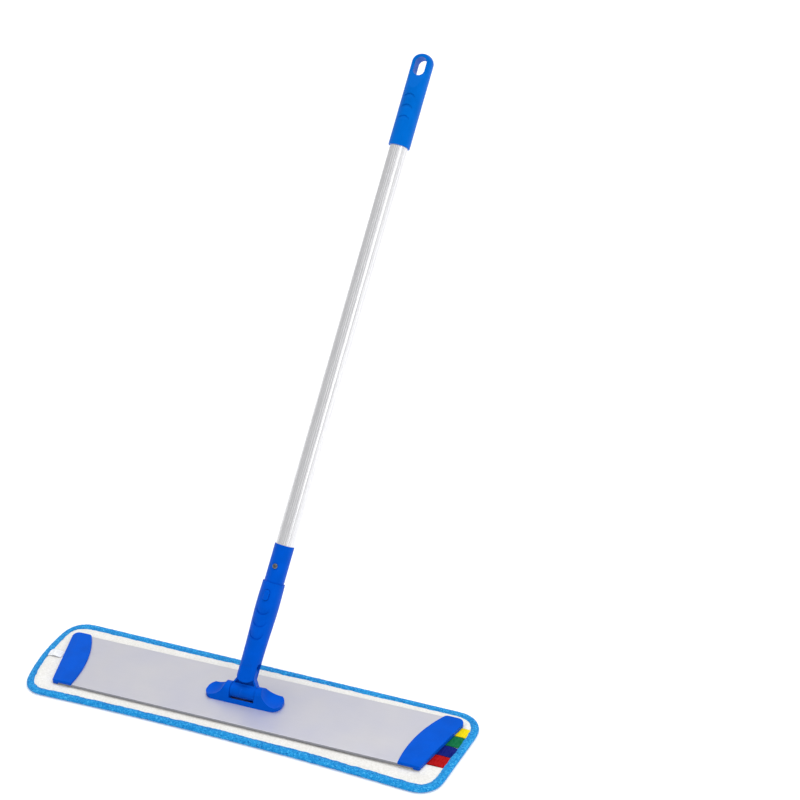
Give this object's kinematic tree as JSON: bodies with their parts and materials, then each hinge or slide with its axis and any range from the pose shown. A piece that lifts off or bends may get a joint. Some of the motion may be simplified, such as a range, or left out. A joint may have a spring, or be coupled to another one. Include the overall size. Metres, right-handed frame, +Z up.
{
  "type": "flat mop",
  "caption": "Flat floor mop: microfibre pad under a trapezoidal aluminium frame with plastic end caps, a two-axis swivel joint and a short fluted tube handle with a grip and hang hole.",
  "frame": {"origin": "on the floor, on the pad's underside, straight under the middle of the swivel barrel", "axes": "+X along the head, towards the end with the colour ribbons; +Y away from the user's side, the way the handle leans at rest; +Z up"},
  "size_m": [0.6309, 0.5651, 0.7806],
  "materials": {
    "pile": "twisted-loop microfibre",
    "fleece": "quilted fleece",
    "binding": "fuzzy edge tape",
    "ribbon_yellow": "woven ribbon",
    "ribbon_green": "woven ribbon",
    "ribbon_navy": "woven ribbon",
    "ribbon_red": "woven ribbon",
    "ribbon_white": "woven ribbon",
    "plate": "satin anodised",
    "hooks": "moulded hook tape",
    "blue_plastic": "satin moulded",
    "grip_plastic": "satin moulded",
    "tube": "bright fluted",
    "steel": "zinc plated"
  },
  "bodies": {
    "pad": {"pad_pile": "pile", "pad_backing": "fleece", "pad_binding": "binding", "ribbon_yellow": "ribbon_yellow", "ribbon_green": "ribbon_green", "ribbon_navy": "ribbon_navy", "ribbon_red": "ribbon_red", "ribbon_white": "ribbon_white"},
    "frame": {"plate": "plate", "hook_strip_front": "hooks", "hook_strip_back": "hooks", "end_cap_left": "blue_plastic", "end_cap_right": "blue_plastic", "end_cap_screws": "steel", "swivel_base": "blue_plastic", "swivel_base_screws": "steel", "swivel_axle": "steel"},
    "swivel": {"swivel_barrel": "blue_plastic"},
    "handle": {"socket": "blue_plastic", "pivot_pin": "steel", "adapter_sleeve": "blue_plastic", "sleeve_screws": "steel", "button_spring": "steel", "tube": "tube", "grip": "grip_plastic"},
    "button": {"lock_button": "blue_plastic"}
  },
  "joints": [
    {"name": "frame_lift", "type": "slide", "parent": "pad", "child": "frame", "axis": [0, 0, 1], "range_m": [0, 0.05]},
    {"name": "barrel_lean", "type": "hinge", "parent": "frame", "child": "swivel", "pos_m": [0, 0, 0.0213], "axis": [1, 0, 0], "range_deg": [-42, 106]},
    {"name": "handle_tilt", "type": "hinge", "parent": "swivel", "child": "handle", "pos_m": [0, 0.01325, 0.0425], "axis": [0, 0.848, -0.5299], "range_deg": [-80, 68]},
    {"name": "button_press", "type": "slide", "parent": "handle", "child": "button", "axis": [0, 0.848, -0.5299], "range_m": [0, 0.003], "stiffness_N_per_m": 800, "springref_m": -0.002, "deforming": ["button_spring"]}
  ]
}
